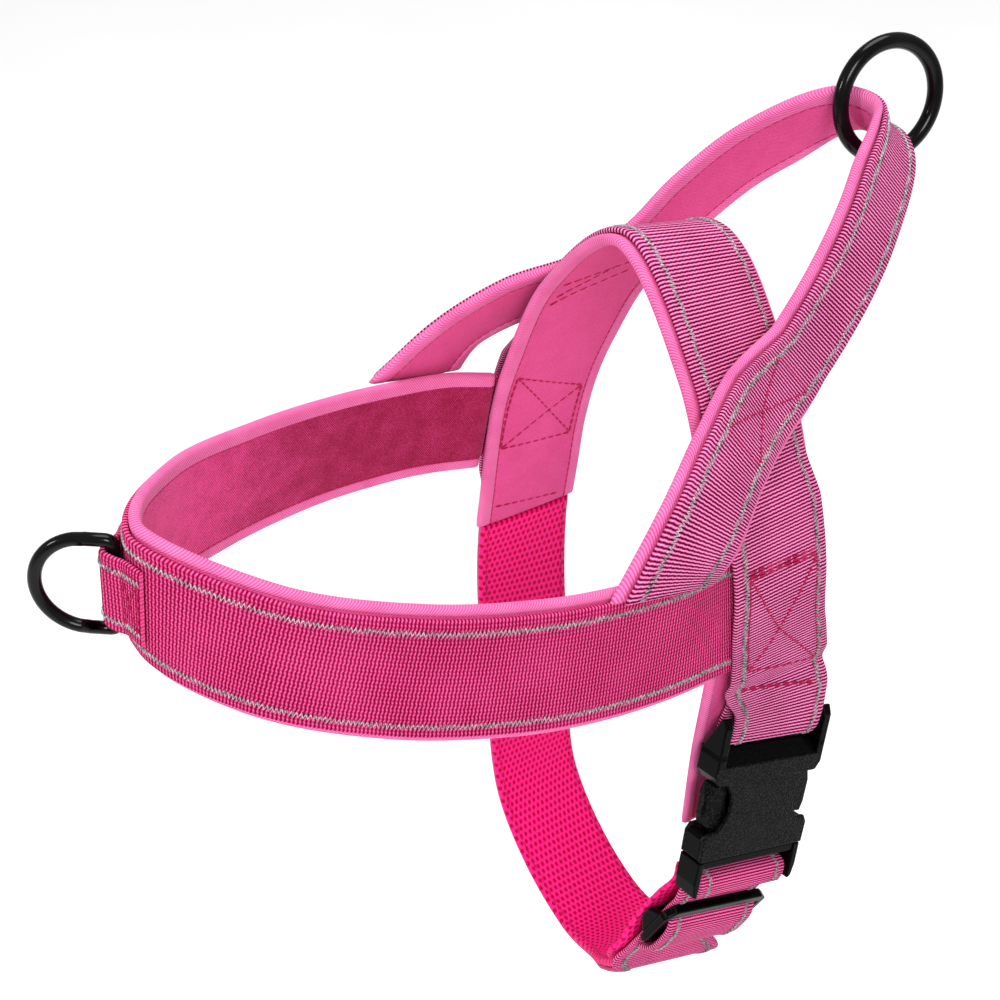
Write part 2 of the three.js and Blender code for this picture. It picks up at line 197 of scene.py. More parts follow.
class Builder:
    """Gathers one piece's vertices, faces, materials and strap coordinates (across, along, in mm)."""

    def __init__(self):
        self.verts, self.faces, self.slots, self.uvs, self.smooth = [], [], [], [], []

    def grid(self, rows, uv_rows, slot=0, caps=True, smooth=True):
        """Joins rows of points, each row closed round, and caps the first and last."""
        start, n = len(self.verts), len(rows[0])
        for row in rows:
            self.verts.extend(row)
        for r in range(len(rows) - 1):
            for k in range(n):
                m = (k + 1) % n
                corners = ((r, k), (r, m), (r + 1, m), (r + 1, k))
                self.faces.append([start + i * n + j for i, j in corners])
                self.uvs.append([uv_rows[i][j] for i, j in corners])
                self.slots.append(slot)
                self.smooth.append(smooth)
        if caps:
            for r, order in ((0, range(n - 1, -1, -1)), (len(rows) - 1, range(n))):
                self.faces.append([start + r * n + j for j in order])
                self.uvs.append([uv_rows[r][j] for j in order])
                self.slots.append(slot)
                self.smooth.append(False)

    def thread(self, points, radius, slot):
        """A round thread along points, drawn to a soft tip at both ends."""
        points = [np.asarray(p, float) for p in points]
        rows, uvs, guide = [], [], None
        count = len(points)
        for i, p in enumerate(points):
            along = unit(points[min(i + 1, count - 1)] - points[max(i - 1, 0)])
            if guide is None:
                guide = np.array([0, 0, 1.0]) if abs(along[2]) < 0.9 else np.array([1.0, 0, 0])
            side = unit(np.cross(along, guide))
            guide = np.cross(side, along)
            r = radius * (THREAD_TIP if i in (0, count - 1) else 1.0)
            angles = turns(THREAD_SIDES)
            rows.append([p + r * (side * math.cos(a) + guide * math.sin(a)) for a in angles])
            uvs.append([(k, i) for k in range(THREAD_SIDES)])
        self.grid(rows, uvs, slot)

    def make(self, name, materials, matrix=None):
        """The finished piece as an object, moved by the matrix if there is one."""
        data = bpy.data.meshes.new(name)
        data.from_pydata([tuple(c * MM for c in v) for v in self.verts], [], self.faces)
        layer = data.uv_layers.new(name="strap")
        flat = [c for face in self.uvs for pair in face for c in pair]
        layer.data.foreach_set("uv", flat)
        for m in materials:
            data.materials.append(m)
        data.polygons.foreach_set("material_index", self.slots)
        data.polygons.foreach_set("use_smooth", self.smooth)
        obj = bpy.data.objects.new(name, data)
        bpy.context.scene.collection.objects.link(obj)
        turn_outwards(obj)
        if matrix is not None:
            data.transform(matrix)
        return obj


def turn_outwards(obj):
    """Makes each closed shell's faces point outwards."""
    b = bmesh.new()
    b.from_mesh(obj.data)
    bmesh.ops.recalc_face_normals(b, faces=b.faces)
    b.to_mesh(obj.data)
    b.free()


def weld(obj):
    """Merges the vertices that lie on each other where a ring closes."""
    b = bmesh.new()
    b.from_mesh(obj.data)
    bmesh.ops.remove_doubles(b, verts=b.verts, dist=1e-6)
    b.to_mesh(obj.data)
    b.free()


def band(half, low, high, lanes=12):
    """A flat strap's outline: (across, out) points round it, with rounded edges."""
    r = (high - low) / 2
    mid = (high + low) / 2
    span = np.linspace(r * 0.8 - half, half - r * 0.8, lanes + 1)
    bottom = [(v, low) for v in span]
    top = [(v, high) for v in span[::-1]]
    right_edge = [(half - r * 0.2, mid - r * 0.75), (half, mid), (half - r * 0.2, mid + r * 0.75)]
    left_edge = [(-v, h) for v, h in reversed(right_edge)]
    return bottom + right_edge + top + left_edge


def sweep(b, route, a, e, outline, step=1.6, slot=CLOTH):
    """Carries an outline along a route from place a to e, with its ends drawn in a little."""
    mid = sum(h for _, h in outline) / len(outline)
    places = route.places(a, e, step)
    rows, uvs = [], []
    for i, s in enumerate(places):
        at = route.frame(s)
        pinch = 1 - END_PINCH if i in (0, len(places) - 1) else 1.0
        shape = [(v, mid + (h - mid) * pinch) for v, h in outline]
        rows.append([route.put(s, v, h, at) for v, h in shape])
        along = route.length(s)
        uvs.append([(v, along) for v, _ in shape])
    b.grid(rows, uvs, slot)


# ---- stitching ----
def stitch_line(b, points, radius=0.28, gap=0.7, slot=THREADS):
    """Running stitches along a line of points on the cloth."""
    points = np.array(points)
    steps = np.concatenate([[0], np.cumsum(np.linalg.norm(np.diff(points, axis=0), axis=1))])

    def at(x):
        return np.array([np.interp(x, steps, points[:, k]) for k in range(3)])

    count = max(1, int(steps[-1] // (STITCH + gap)))
    pitch = steps[-1] / count
    for i in range(count):
        x0 = i * pitch + gap / 2
        x1 = (i + 1) * pitch - gap / 2
        b.thread([at(x0 * (1 - k) + x1 * k) for k in (0, 0.25, 0.75, 1)], radius, slot)


def seam(b, route, a, e, v, h, **kw):
    """A line of stitches along a strap, v across it and h out from its inner face."""
    stitch_line(b, [route.put(s, v, h) for s in route.places(a, e, 2.0)], **kw)


def cross_seam(b, route, s0, v0, s1, v1, h, **kw):
    """A straight line of stitches from (s0, v0) to (s1, v1) on a strap's face."""
    t = np.linspace(0, 1, 12)
    stitch_line(b, [route.put(s0 + (s1 - s0) * k, v0 + (v1 - v0) * k, h) for k in t], **kw)


def box_cross(b, route, corners, h, **kw):
    """The stitched box with a cross in it that holds two straps: four (place, across) corners."""
    for i, j in ((0, 1), (1, 2), (2, 3), (3, 0), (0, 2), (1, 3)):
        cross_seam(b, route, *corners[i], *corners[j], h, **kw)


def zigzag(b, route, a, e, v, h):
    """The reflective thread: a flat zigzag that runs along a webbing near its edge."""
    places = route.places(a, e, ZIGZAG_STEP)
    points = []
    for i, s in enumerate(places):
        side = ZIGZAG_HALF if i % 2 else -ZIGZAG_HALF
        points.append(route.put(s, v + side, h))
    b.thread(points, THREAD_RADIUS, THREADS)


# ---- procedural materials ----
class Shader:
    """A material's node tree, written as small expressions."""

    def __init__(self, name, roughness, specular, metallic=0.0, sheen=0.0, coat=0.0):
        self.material = bpy.data.materials.new(name)
        self.material.use_nodes = True
        self.tree = self.material.node_tree
        self.bsdf = self.tree.nodes["Principled BSDF"]
        self.set("Roughness", roughness)
        self.set("Metallic", metallic)
        self.set("Sheen Weight", sheen)
        self.set("Sheen Roughness", 0.45)
        self.set("Coat Weight", coat)
        self.set("Coat Roughness", 0.08)
        self.set("Specular IOR Level", specular)

    def set(self, socket, value):
        self.bsdf.inputs[socket].default_value = value

    def node(self, kind, **settings):
        n = self.tree.nodes.new(kind)
        for key, value in settings.items():
            setattr(n, key, value)
        return n

    def link(self, source, target):
        self.tree.links.new(source, target)

    def math(self, operation, a, b=0.0, c=0.0):
        n = self.node("ShaderNodeMath", operation=operation)
        for socket, value in zip(n.inputs, (a, b, c)):
            if isinstance(value, (int, float)):
                socket.default_value = value
            else:
                self.link(value, socket)
        return n.outputs[0]

    def strap_coordinates(self):
        """(across, along) in millimetres."""
        uv = self.node("ShaderNodeUVMap", uv_map="strap")
        split = self.node("ShaderNodeSeparateXYZ")
        self.link(uv.outputs[0], split.inputs[0])
        return split.outputs[0], split.outputs[1]

    def wave(self, x, period):
        """A cosine between 0 and 1 of that period."""
        angle = self.math("MULTIPLY", x, 2 * math.pi / period)
        return self.math("MULTIPLY_ADD", self.math("COSINE", angle), 0.5, 0.5)

    def noise(self, scale, detail=3.0):
        where = self.node("ShaderNodeTexCoord")
        n = self.node("ShaderNodeTexNoise")
        n.inputs["Scale"].default_value = scale
        n.inputs["Detail"].default_value = detail
        self.link(where.outputs["Object"], n.inputs["Vector"])
        return n.outputs["Fac"]

    def speckle(self, scale, span, detail=3.0):
        """Noise that varies by that span around zero."""
        return self.math("MULTIPLY_ADD", self.noise(scale, detail), span, -span / 2)

    def smooth_range(self, value, low, high):
        """0 below low and 1 above high, with a smooth rise between them."""
        n = self.node("ShaderNodeMapRange", interpolation_type="SMOOTHSTEP")
        n.inputs[1].default_value = low
        n.inputs[2].default_value = high
        self.link(value, n.inputs[0])
        return n.outputs[0]

    def ramp(self, value, stops):
        """The colour at that value, between (place, colour) stops."""
        n = self.node("ShaderNodeValToRGB")
        ramp = n.color_ramp
        for _ in range(len(stops) - 2):
            ramp.elements.new(0.5)
        for element, (place, color) in zip(ramp.elements, stops):
            element.position = place
            element.color = (*color, 1)
        self.link(value, n.inputs[0])
        return n.outputs[0]

    def color(self, socket):
        self.link(socket, self.bsdf.inputs["Base Color"])

    def roughen(self, value, low, high):
        """Roughness from low to high as the value goes from 0 to 1."""
        self.link(self.math("MULTIPLY_ADD", value, high - low, low), self.bsdf.inputs["Roughness"])

    def bump(self, height, depth, strength=1.0):
        """A fine relief, that many millimetres deep."""
        n = self.node("ShaderNodeBump")
        n.inputs["Distance"].default_value = depth * MM
        n.inputs["Strength"].default_value = strength
        self.link(height, n.inputs["Height"])
        self.link(n.outputs[0], self.bsdf.inputs["Normal"])


def webbing_material(name, dark, base, light, warp_depth, column_width=1.0, offset=0.07):
    """Nylon webbing: cross ribs under fine warp columns, every second one shifted by offset of a rib."""
    m = Shader(name, 0.7, specular=0.05)
    across, along = m.strap_coordinates()
    column = m.math("FLOOR", m.math("DIVIDE", across, column_width))
    stagger = m.math("MULTIPLY", m.math("MODULO", m.math("ABSOLUTE", column), 2.0), RIB * offset)
    rib = m.wave(m.math("ADD", along, stagger), RIB)
    warp = m.wave(across, column_width)
    height = m.math("MULTIPLY", rib, m.math("MULTIPLY_ADD", warp, warp_depth, 1 - warp_depth))
    patchy = m.speckle(60.0, 0.26)
    fuzz = m.speckle(2600.0, 0.4, 1.0)
    tone = m.math("ADD", m.math("ADD", height, patchy), fuzz)
    # the ribs colour the webbing too: painted shade in the grooves and a painted sheen on the ridges
    m.color(m.ramp(tone, [(0.02, dark), (0.38, base), (0.95, light)]))
    m.roughen(height, 0.85, 0.55)
    m.bump(height, 0.38, 0.9)
    return m.material


def knit_material(name, dark, base, light, shade=0.0):
    """Smooth padded knit: a very fine twill over a faint mottle, darkened along part of the strap by
    painted shade of the given depth.
    """
    m = Shader(name, 0.85, sheen=0.05, specular=0.08)
    across, along = m.strap_coordinates()
    twill = m.wave(m.math("MULTIPLY_ADD", across, 0.9, along), 0.8)
    mottle = m.noise(140.0, 4.0)
    grain = m.noise(2200.0, 1.0)
    tone = m.math("ADD", m.math("MULTIPLY", mottle, 0.25), m.math("MULTIPLY", twill, 0.25))
    tone = m.math("MULTIPLY_ADD", grain, 0.5, tone)
    # painted shade: the knit grows darker along that stretch of the strap
    painted_shade = m.smooth_range(along, *PAINTED_SHADE_SPAN)
    tone = m.math("SUBTRACT", tone, m.math("MULTIPLY", painted_shade, shade))
    m.color(m.ramp(tone, [(0.2, dark), (0.5, base), (0.85, light)]))
    m.bump(m.math("MULTIPLY_ADD", grain, 0.4, twill), 0.12, 0.6)
    return m.material


def binding_material(name, dark, base, light):
    """Stretch binding tape: slanting ribs."""
    m = Shader(name, 0.75, sheen=0.06, specular=0.12)
    across, along = m.strap_coordinates()
    rib = m.wave(m.math("MULTIPLY_ADD", across, 0.8, along), 0.85)
    tone = m.math("MULTIPLY_ADD", m.noise(90.0), 0.4, m.math("MULTIPLY", rib, 0.6))
    m.color(m.ramp(tone, [(0.1, dark), (0.45, base), (0.85, light)]))
    m.bump(rib, 0.16, 0.7)
    return m.material


def mesh_material(name, dark, base, light):
    """Air mesh: staggered oval holes between plump ribs."""
    m = Shader(name, 0.6, specular=0.06)
    across, along = m.strap_coordinates()
    row = m.math("FLOOR", m.math("DIVIDE", along, HOLE_L))
    shift = m.math("MULTIPLY", m.math("MODULO", m.math("ABSOLUTE", row), 2.0), 0.5)
    column = m.math("ADD", m.math("DIVIDE", across, HOLE_U), shift)
    u = m.math("SUBTRACT", m.math("FRACT", column), 0.5)
    v = m.math("SUBTRACT", m.math("FRACT", m.math("DIVIDE", along, HOLE_L)), 0.5)
    oval = m.math("MULTIPLY", m.math("MULTIPLY", u, u), 1.5)
    far = m.math("SQRT", m.math("MULTIPLY_ADD", v, v, oval))
    edge = m.smooth_range(far, *HOLE_EDGE)
    # the holes are coloured darker than the ribs: painted shade in them
    tone = m.math("MULTIPLY_ADD", m.noise(900.0), 0.3, m.math("MULTIPLY", edge, 0.75))
    m.color(m.ramp(tone, [(0.1, dark), (0.5, base), (0.95, light)]))
    m.bump(m.math("MULTIPLY_ADD", m.noise(2400.0, 1.0), 0.2, edge), 0.5, 0.8)
    return m.material


def thread_material(name, dark, light, roughness=0.55, metallic=0.0):
    """Twisted sewing thread, faintly uneven in colour."""
    m = Shader(name, roughness, metallic=metallic, specular=0.2)
    m.color(m.ramp(m.noise(1500.0), [(0.35, dark), (0.65, light)]))
    m.bump(m.noise(4000.0), 0.05)
    return m.material


def plastic_material(name, base, light, low, high, grain):
    """Moulded plastic with a fine spark grain, its lighter specks painted glints, its roughness from low
    to high.
    """
    m = Shader(name, 0.5, specular=0.05)
    speck_and_glint = m.noise(1800.0, 2.0)
    # the grain's lighter specks are painted glints
    m.color(m.ramp(speck_and_glint, [(0.48, base), (0.66, light)]))
    m.roughen(m.noise(300.0), low, high)
    m.bump(speck_and_glint, grain)
    return m.material


def steel_material(name):
    """Steel under a black coating, its gloss faintly uneven."""
    m = Shader(name, 0.16, coat=0.12, specular=0.12)
    wear = m.noise(120.0, 5.0)
    m.color(m.ramp(wear, [(0.35, (0.001, 0.001, 0.001)), (0.8, (0.005, 0.005, 0.005))]))
    m.roughen(wear, 0.12, 0.26)
    m.bump(m.noise(500.0), 0.02)
    return m.material


# Each webbing's light colour is partly a painted sheen on its ridges, its dark colour partly painted shade
# in its grooves.
WEBBING = webbing_material(
    "ribbed_webbing", (0.06, 0.0, 0.012), (0.46, 0.018, 0.13), (1.0, 0.34, 0.66), 0.2
)
BELLY_WEBBING = webbing_material(
    "belly_webbing", (0.10, 0.0, 0.015), (0.60, 0.02, 0.16), (1.0, 0.22, 0.50), 0.25
)
CHEST_WEBBING = webbing_material(
    "square_webbing", (0.18, 0.0, 0.025), (0.57, 0.018, 0.135), (1.0, 0.15, 0.40), 0.5, 1.25, 0.12
)
LINER = knit_material("pink_liner", (0.54, 0.042, 0.18), (0.69, 0.075, 0.26), (0.82, 0.12, 0.35))
# The chest's liner carries painted shade that darkens its far part.
CHEST_LINER = knit_material(
    "chest_liner", (0.25, 0.005, 0.04), (0.80, 0.075, 0.29), (0.92, 0.12, 0.38), 0.3
)
BINDING = binding_material("pink_binding", (0.57, 0.05, 0.22), (0.76, 0.125, 0.36), (0.90, 0.24, 0.50))
MESH = mesh_material("pink_mesh", (0.46, 0.0, 0.045), (0.76, 0.002, 0.125), (1.0, 0.02, 0.24))
THREAD = thread_material("reflective_thread", (0.16, 0.13, 0.15), (0.66, 0.61, 0.64), 0.35, 0.2)
PINK_THREAD = thread_material("pink_thread", (0.30, 0.002, 0.05), (0.56, 0.008, 0.10))
GRAINED = plastic_material(
    "grained_plastic", (0.0005, 0.0005, 0.0005), (0.02, 0.02, 0.02), 0.3, 0.5, 0.4
)
GLOSSY = plastic_material(
    "smooth_plastic", (0.001, 0.001, 0.001), (0.003, 0.003, 0.003), 0.16, 0.28, 0.02
)
STEEL = steel_material("black_coated_steel")

# ---- routes, as in the CAD model: (point on the inner face, direction across) at each stop ----
BACK = [
    ((61, -4, -106), (0, 1, -0.05)),
    ((57, -3.3, -85), (-0.04, 1, -0.05)),
    ((50, -2.5, -65), (-0.06, 1, -0.06)),
    ((31.5, -1, -28), (-0.11, 0.99, -0.11)),
    ((0, 0, 0), (0, 0.98, -0.21)),
]
BUCKLE_ACROSS = (0.08, 0.93, -0.36)
SADDLE = [
    ((59, -4.2, -187), (0.08, 1, -0.05)),
    ((60, -4.9, -149), (0.05, 1, -0.04)),
    ((60.8, -4.6, -127), (0.02, 1, -0.04)),
    *both_sides(BACK),
    ((-63, -5, -127), (0, 1, -0.04)),
    ((-64.5, -5.7, -141), (0, 1, -0.04)),
]
FAR_SIDE = [
    ((-63, -5, -127), (0, 1, -0.04)),
    ((-65, -6, -150), (0, 1, -0.04)),
    ((-64, -7, -178), (0.04, 0.97, -0.18)),
    ((-59.8, -7.6, -212), BUCKLE_ACROSS),
    ((-56.5, -8, -238), (-0.02, 0.99, -0.12)),
]
CHEST = both_sides(
    [
        ((59.3, -2, -96), (-0.19, 0.1, 0.97)),
        ((60, -24, -91), (-0.2, 0.03, 0.98)),
        ((63, -46, -86), (-0.15, 0.2, 0.96)),
        ((62.4, -70, -81.5), (-0.13, 0.18, 0.98)),
        ((59, -92, -77), (-0.1, 0.2, 0.97)),
        ((48.5, -124.2, -69.4), (-0.02, 0.26, 0.96)),
        ((30, -155.2, -59.7), (0.08, 0.27, 0.96)),
        ((0, -174.3, -51.5), (0, 0.09, 1)),
    ]
)
HANDLE = both_sides(
    [
        ((65.2, -51.2, -64.8), (0.05, 0.97, -0.22)),
        ((61.6, -36.4, -52), (0.3, 0.75, -0.6)),
        ((52.5, -19, -40.5), (0.36, 0.52, -0.78)),
        ((43.8, -2.5, -34.5), (0.42, 0.42, -0.8)),
        ((36.8, 19, -26.8), (0.14, 0.63, -0.77)),
        ((32.5, 37.3, -10.6), (0.12, 0.7, -0.7)),
        ((25, 54, 3.8), (0.12, 0.66, -0.74)),
        ((11.2, 71.8, 15.8), (0.14, 0.65, -0.75)),
        ((0, 75.7, 17.5), (0, 0.66, -0.75)),
    ]
)
BELLY = [
    *FAR_SIDE,
    ((-48.5, -8.2, -277), (-0.05, 1, -0.04)),
    ((-28, -8.5, -299), (-0.03, 1, -0.06)),
    ((0, -10.5, -306), (0, 1, -0.1)),
    ((26.5, -15.5, -292), (0.12, 1, -0.1)),
    ((46, -25, -270.5), (0.2, 0.95, -0.14)),
    ((62.5, -32.5, -246.5), (0.14, 0.94, -0.26)),
]
CHEST_LIFT = WEB + LAP + 2.1  # the girth webbing runs over the chest band's sewn ends


def tool_frame(origin, across, down):
    """A frame with x across the strap, y up along it and z outwards, as a 4x4 in millimetres."""
    y = -unit(down)
    x = np.array(across, float)
    x = unit(x - x.dot(y) * y)
    m = np.eye(4)
    m[:3, 0], m[:3, 1], m[:3, 2], m[:3, 3] = x, y, np.cross(x, y), origin
    return m


BUCKLE = tool_frame((68.5, -2, -137), BUCKLE_ACROSS, (0.22, -0.33, -0.92))
SLIDER = tool_frame((75.5, -30, -212), BUCKLE_ACROSS, (-0.3, -0.3, -0.905))


def stop_in(m, y, z):
    """A stop on the middle of the strap, given in a tool frame."""
    return (tuple((m @ np.array([0, y, z, 1]))[:3]), tuple(m[:3, 0]))


def in_metres(m):
    """That frame's matrix for a mesh already in metres."""
    scaled = m.copy()
    scaled[:3, 3] *= MM
    return Matrix(scaled.tolist())


GIRTH_NEAR = [
    ((70.1, -0.9, -132.8), (0.06, 0.97, -0.2)),
    ((66.6, -2.8, -121), (0.05, 1, -0.04)),
]
SOCKET_BAR_Y, SOCKET_BAR_R = -5.5, 2.2
PLUG_BAR_Y, PLUG_BAR_R = -59.8, 2.0

# Places along the routes, in stops.
GIRTH_ON_PAD = (8, 9)  # where the girth webbing climbs onto the saddle's pad
GIRTH_OVER_CHEST = ((1.35, 3.9), (8.1, 10.55))  # after its fold: where it runs over the chest band
GIRTH_END = 19.1  # low on the far side, where the belly webbing carries on from BELLY_FROM
BELLY_FROM = 1.1
BELLY_OFF_PAD = (10.15, 11)  # where the belly webbing comes down off the mesh sleeve
MESH_FROM, MESH_TO = 0.67, 10.1
CHEST_PAD_FROM = 1.12  # the chest's pad starts short of its webbing's sewn ends
GRIP_TOP = (len(HANDLE) - 1) / 2  # where the lead ring holds the handle
GRIP_CUP, GRIP_NARROW = 4.5, 0.3  # there it curls up by that much, and narrows by that share


def girth_route():
    """From the folded end, round the socket's bar, over the back and down the far side."""
    r = SOCKET_BAR_R + LAP
    y = SOCKET_BAR_Y
    fold = [(9, 1), (3, -0.6), (y, -r), (y - 0.75 * r, -0.75 * r), (y - r, 0)]
    fold += [(y - 0.75 * r, 0.75 * r), (y, r)]
    stops = [stop_in(BUCKLE, *p) for p in fold] + GIRTH_NEAR + both_sides(BACK) + FAR_SIDE[:3]

    def lift(s):
        over_chest = max(plateau(s - len(fold), a, e, 0.5) for a, e in GIRTH_OVER_CHEST)
        return PAD_TOP * smoothstep(s, *GIRTH_ON_PAD) + CHEST_LIFT * over_chest

    return Route(stops, lift=lift)


def belly_stops():
    """From the far side, under the belly, through the slider and round the plug's bar."""
    r = PLUG_BAR_R + LAP + WEB
    y = PLUG_BAR_Y
    straight = [stop_in(SLIDER, p, -WEB / 2) for p in (-24, -12, 0, 8, 13)]
    fold = [(y, -r), (y + 0.72 * r, -0.72 * r), (y + r, 0), (y + 0.72 * r, 0.72 * r), (y, r)]
    fold += [(y - 5, r - 1.2)]
    return BELLY + straight + [stop_in(BUCKLE, *p) for p in fold]


def near_ring(s):
    """1 where the lead ring holds the handle, down to 0 away from it."""
    return plateau(s, GRIP_TOP - 0.35, GRIP_TOP + 0.35, 1.4)


girth = girth_route()
belly = Route(belly_stops(), lift=lambda s: PAD_TOP * (1 - smoothstep(s, *BELLY_OFF_PAD)))
mesh_sleeve = Route(belly_stops())
saddle = Route(SADDLE)
chest = Route(CHEST)
grip = Route(
    HANDLE,
    cup=lambda s: GRIP_CUP * near_ring(s),
    narrow=lambda s: 1 - GRIP_NARROW * near_ring(s),
    reach=GRIP_HALF,
)


# ---- soft pieces ----
def webbing(route, a, e, half, low):
    """Webbing along a route from place a to e, with a reflective thread near each edge."""
    b = Builder()
    sweep(b, route, a, e, band(half, low, low + WEB))
    for v in (-half + THREAD_INSET, half - THREAD_INSET):
        zigzag(b, route, a + THREAD_SHORT, e - THREAD_SHORT, v, low + WEB + THREAD_RISE)
    return b


def pad_outline(half):
    """The liner's outline between its bindings: puffed on the inner face, pinched at its seams."""
    crown = 0.7
    edge = half - 4.4
    inner = []
    for v in np.linspace(-half + 1.2, half - 1.2, 25):
        puff = crown * max(0.0, 1 - (v / edge) ** 2) ** 0.4 if abs(v) < edge else 0
        inner.append((v, 0.25 - puff))
    outer = [(v, PAD - 0.1) for v in np.linspace(half - 1.2, -half + 1.2, 13)]
    return inner + outer


def binding_outline(half, side):
    """A tape folded round the pad's edge, open towards the pad: (across, out) points."""
    inner_lip, outer_lip, thick = 4.8, 2.5, 0.55
    r = PAD / 2 + 0.25
    mid = PAD / 2
    outside = [(half - inner_lip, mid - r + 0.15), (half - inner_lip + 0.5, mid - r - 0.12)]
    outside += [(half - r - 0.4, mid - r - 0.05)]
    angles = np.linspace(-math.pi / 2, math.pi / 2, 11)
    outside += [(half - r + r * math.cos(t), mid + r * math.sin(t)) for t in angles]
    outside += [(half - outer_lip, mid + r)]
    q = r - thick
    inside = [(half - outer_lip, mid + q)]
    inside += [(half - r + q * math.cos(t), mid + q * math.sin(t)) for t in angles[::-2]]
    inside += [(half - inner_lip, mid - q)]
    return [(side * v, h) for v, h in outside + inside]


def bound_pad(name, route, a, e, half, bindings, more_seams=None, knit=LINER):
    """A liner and its two binding tapes, with the seam that sews each tape on."""
    b = Builder()
    sweep(b, route, a, e, pad_outline(half), step=2.2)
    for side in (-1, 1):
        v = side * (half - SEAM_INSET)
        seam(b, route, a + THREAD_SHORT, e - THREAD_SHORT, v, 0.1, radius=0.3, gap=0.35)
    if more_seams:
        more_seams(b)
    liner = b.make(name, [knit, PINK_THREAD])
    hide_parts(name)
    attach(liner, "harness")
    for side, node in zip((-1, 1), bindings):
        t = Builder()
        sweep(t, route, a, e, binding_outline(half, side))
        tape = t.make(node, [BINDING])
        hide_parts(node)
        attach(tape, "harness")


def far_side_seams(b):
    """Stitching that shows on the saddle's inner face on the far side."""
    box_cross(b, saddle, [(9.3, -15.5), (10.0, 15.0), (11.1, 14.5), (10.95, -16.5)], -0.3, radius=0.42)
    cross_seam(b, saddle, 12.38, -16, 12.72, 13, -0.3, radius=0.42)
    for s0, v0, s1, v1 in ((8.24, -15.5, 7.82, 6.5), (8.14, -14.5, 7.72, 0), (7.95, -15.5, 7.68, 4)):
        cross_seam(b, saddle, s0, v0, s1, v1, -0.35, radius=0.36)


def near_side_seams(b):
    """Stitching on the girth webbing above the buckle."""
    look = {"slot": PINK_THREADS, "radius": 0.34}
    h = WEB + STITCH_RISE
    box_cross(b, girth, [(8.48, -13.5), (8.04, 14.5), (10.1, 14.5), (10.2, -13.5)], h, **look)
    for d in (0, 0.06):
        cross_seam(b, girth, 10.24 + d, -14, 10.14 + d, 14.5, h, **look)
        cross_seam(b, girth, 7.95 - d, -14, 7.4 - d, 13, h, **look)


def square_box(b, route, a, e, half, h):
    """A box and cross with its sides along and across the strap."""
    box_cross(b, route, [(a, -half), (a, half), (e, half), (e, -half)], h, slot=PINK_THREADS)


def grip_seams(b):
    """The boxes that join the handle's two legs to the saddle."""
    for a in (2.2, 12.3):
        square_box(b, grip, a, a + 1.5, 8.2, PAD_TOP + WEB + STITCH_RISE)


bound_pad(
    "saddle_liner", saddle, 0, saddle.last, PAD_HALF,
    ("saddle_binding_front", "saddle_binding_rear"), more_seams=far_side_seams,
)
bound_pad(
    "chest_liner", chest, CHEST_PAD_FROM, chest.last - CHEST_PAD_FROM, PAD_HALF,
    ("chest_binding_lower", "chest_binding_upper"), knit=CHEST_LINER,
)
bound_pad(
    "handle_liner", grip, 0, grip.last, GRIP_HALF,
    ("handle_binding_upper", "handle_binding_lower"),
)


def finish_webbing(b, name, body="harness", weave=WEBBING):
    """Makes the piece in place of the node of that name, and lets it ride on its body, if it has one."""
    obj = b.make(name, [weave, THREAD, PINK_THREAD, MESH])
    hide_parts(name)
    if body:
        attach(obj, body)
    return obj


strap = webbing(girth, 0, GIRTH_END, WIDE / 2, 0)
near_side_seams(strap)
finish_webbing(strap, "saddle_webbing")
strap = webbing(chest, 0, chest.last, WIDE / 2, PAD_TOP)
finish_webbing(strap, "chest_webbing", weave=CHEST_WEBBING)
strap = webbing(grip, 0, grip.last, NARROW / 2, PAD_TOP)
grip_seams(strap)
finish_webbing(strap, "handle_webbing")


def lining_tail(b):
    """The mesh lining's loose end: off the sleeve, up behind the slider to the plug."""
    point, across, out = mesh_sleeve.frame(MESH_TO - 0.35)
    start = (tuple(point - out * 1.8), tuple(across))  # against the sleeve's inner side, before its end
    low = [stop_in(SLIDER, y, z) for y, z in ((-21, -3.4), (-10, -5.6), (2, -6.2), (9, -6.2))]
    high = [stop_in(BUCKLE, y, z) for y, z in ((-61.5, -7.6), (-55.5, -7.4))]
    forward, up = 2.2, 0.8  # it lies a little out of line with the webbing
    shifted = [((x, y - forward, z + up), side) for (x, y, z), side in low + high]
    tail = Route([start, *shifted])
    sweep(b, tail, 0, tail.last, band(WIDE / 2, 0, WEB), slot=LINING)


strap = webbing(belly, BELLY_FROM, belly.last, WIDE / 2, 0)
lining_tail(strap)
for v in (THREAD_INSET - WIDE / 2, WIDE / 2 - THREAD_INSET):
    # The end folded round the plug's bar shows its inner face, so the thread runs there too.
    zigzag(strap, belly, belly.last - 3.2, belly.last - 0.1, v, -THREAD_RISE)
strap = finish_webbing(strap, "belly_webbing", None, BELLY_WEBBING)
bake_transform(strap)


def mesh_outline():
    """The mesh sleeve: a plump inner face and rolled edges."""
    half = MESH_HALF
    inner = [(v, -0.35 * (1 - (v / half) ** 2) + 0.1) for v in np.linspace(-half + 1.6, half - 1.6, 21)]
    right = [(half - 0.5, 0.3), (half, PAD / 2), (half - 0.5, PAD - 0.3)]
    outer = [(v, PAD) for v in np.linspace(half - 1.6, -half + 1.6, 9)]
    left = [(-half + 0.5, PAD - 0.3), (-half, PAD / 2), (-half + 0.5, 0.3)]
    return inner + right + outer + left


def mesh_sleeve_piece():
    """The padded mesh on the strap's inner side, with a seam along each edge."""
    b = Builder()
    sweep(b, mesh_sleeve, MESH_FROM, MESH_TO, mesh_outline())
    for side in (-1, 1):
        v = side * (MESH_HALF - 2.6)
        seam(b, mesh_sleeve, MESH_FROM + 0.05, MESH_TO - 0.05, v, -0.05, radius=0.25)
    sleeve = b.make("belly_mesh_sleeve", [MESH, PINK_THREAD])
    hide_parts("belly_mesh_pad", "belly_mesh_anchor")
    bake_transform(sleeve)


mesh_sleeve_piece()

